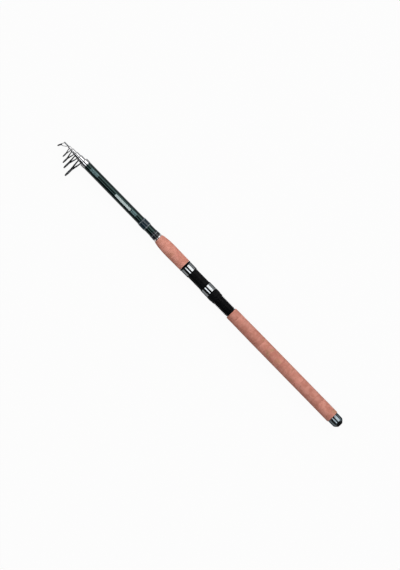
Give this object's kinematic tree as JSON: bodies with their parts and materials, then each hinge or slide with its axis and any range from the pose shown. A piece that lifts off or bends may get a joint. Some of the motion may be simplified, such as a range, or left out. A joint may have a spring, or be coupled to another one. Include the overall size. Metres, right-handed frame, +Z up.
{
  "type": "telescopic spinning rod",
  "caption": "Telescopic spinning rod closed for transport, with cork grips, a screw-lock reel seat, wire-legged guides, a tip-top and a screw-in butt cap.",
  "frame": {"origin": "centre of the bounding box's bottom face, where the cork grips rest on the table", "axes": "+X along the rod from butt to tip, +Y the way the guide rings point in the rest pose, +Z up"},
  "size_m": [0.7321, 0.0552, 0.0252],
  "materials": {
    "cork": "matte natural cork",
    "lacquered_blank": "gloss lacquer over fibre tube",
    "chrome": "bright chrome",
    "dark_chrome": "dark polished plating",
    "silver_trim": "polished",
    "black_plastic": "satin moulded",
    "navy_wrap": "lacquered thread",
    "charcoal_wrap": "lacquered thread",
    "rubber": "matte",
    "foam": "matte foam",
    "ceramic": "polished black"
  },
  "bodies": {
    "handle": {"butt_blank": "lacquered_blank", "front_collar": "chrome", "front_wrap": "navy_wrap", "rear_wrap": "charcoal_wrap", "winding_check": "silver_trim", "foregrip": "cork", "seat_ring": "black_plastic", "fixed_hood": "chrome", "fixed_hood_rim": "black_plastic", "seat_barrel": "black_plastic", "rear_grip": "cork", "butt_bush": "black_plastic"},
    "cap_core": {"cap_seal": "rubber", "cap_pad": "foam"},
    "butt_cap": {"butt_cap": "dark_chrome"},
    "moving_hood": {"moving_hood": "chrome", "moving_hood_rim": "black_plastic", "hood_key": "black_plastic"},
    "lock_nut": {"lock_nut": "black_plastic"},
    "section_1": {"section_1": "lacquered_blank"},
    "guide_1": {"guide_frame_1": "chrome", "guide_insert_1": "ceramic"},
    "section_2": {"section_2": "lacquered_blank"},
    "guide_2": {"guide_frame_2": "chrome", "guide_insert_2": "ceramic"},
    "section_3": {"section_3": "lacquered_blank"},
    "guide_3": {"guide_frame_3": "chrome", "guide_insert_3": "ceramic"},
    "section_4": {"section_4": "lacquered_blank"},
    "guide_4": {"guide_frame_4": "chrome", "guide_insert_4": "ceramic"},
    "section_5": {"section_5": "lacquered_blank"},
    "tip_top": {"tip_frame": "chrome", "tip_insert": "ceramic"}
  },
  "joints": [
    {"name": "cap_slide", "type": "slide", "parent": "handle", "child": "cap_core", "axis": [-1, 0, 0], "range_m": [0, 0.0206]},
    {"name": "cap_turn", "type": "hinge", "parent": "cap_core", "child": "butt_cap", "pos_m": [-0.34558, -0.01495, 0.0126], "axis": [-1, 0, 0], "range_deg": [0, 2952]},
    {"name": "hood_slide", "type": "slide", "parent": "handle", "child": "moving_hood", "axis": [1, 0, 0], "range_m": [-0.0331, 0.0081]},
    {"name": "nut_turn", "type": "hinge", "parent": "moving_hood", "child": "lock_nut", "pos_m": [-0.04398, -0.01495, 0.0126], "axis": [1, 0, 0], "range_deg": [-3960, 960]},
    {"name": "section_1_slide", "type": "slide", "parent": "handle", "child": "section_1", "axis": [1, 0, 0], "range_m": [0, 0.453]},
    {"name": "section_1_turn", "type": "hinge", "parent": "section_1", "child": "guide_1", "pos_m": [0.31012, -0.01495, 0.0126], "axis": [1, 0, 0], "continuous": true},
    {"name": "section_2_slide", "type": "slide", "parent": "section_1", "child": "section_2", "axis": [1, 0, 0], "range_m": [0, 0.453]},
    {"name": "section_2_turn", "type": "hinge", "parent": "section_2", "child": "guide_2", "pos_m": [0.32152, -0.01495, 0.0126], "axis": [1, 0, 0], "continuous": true},
    {"name": "section_3_slide", "type": "slide", "parent": "section_2", "child": "section_3", "axis": [1, 0, 0], "range_m": [0, 0.453]},
    {"name": "section_3_turn", "type": "hinge", "parent": "section_3", "child": "guide_3", "pos_m": [0.33112, -0.01495, 0.0126], "axis": [1, 0, 0], "continuous": true},
    {"name": "section_4_slide", "type": "slide", "parent": "section_3", "child": "section_4", "axis": [1, 0, 0], "range_m": [0, 0.453]},
    {"name": "section_4_turn", "type": "hinge", "parent": "section_4", "child": "guide_4", "pos_m": [0.34082, -0.01495, 0.0126], "axis": [1, 0, 0], "continuous": true},
    {"name": "section_5_slide", "type": "slide", "parent": "section_4", "child": "section_5", "axis": [1, 0, 0], "range_m": [0, 0.453]},
    {"name": "section_5_turn", "type": "hinge", "parent": "section_5", "child": "tip_top", "pos_m": [0.34912, -0.01495, 0.0126], "axis": [1, 0, 0], "continuous": true}
  ],
  "couplings": [
    {"joint": "cap_slide", "follows": "cap_turn", "m_per_rad": 0.00039789},
    {"joint": "hood_slide", "follows": "nut_turn", "m_per_rad": 0.00047746}
  ]
}
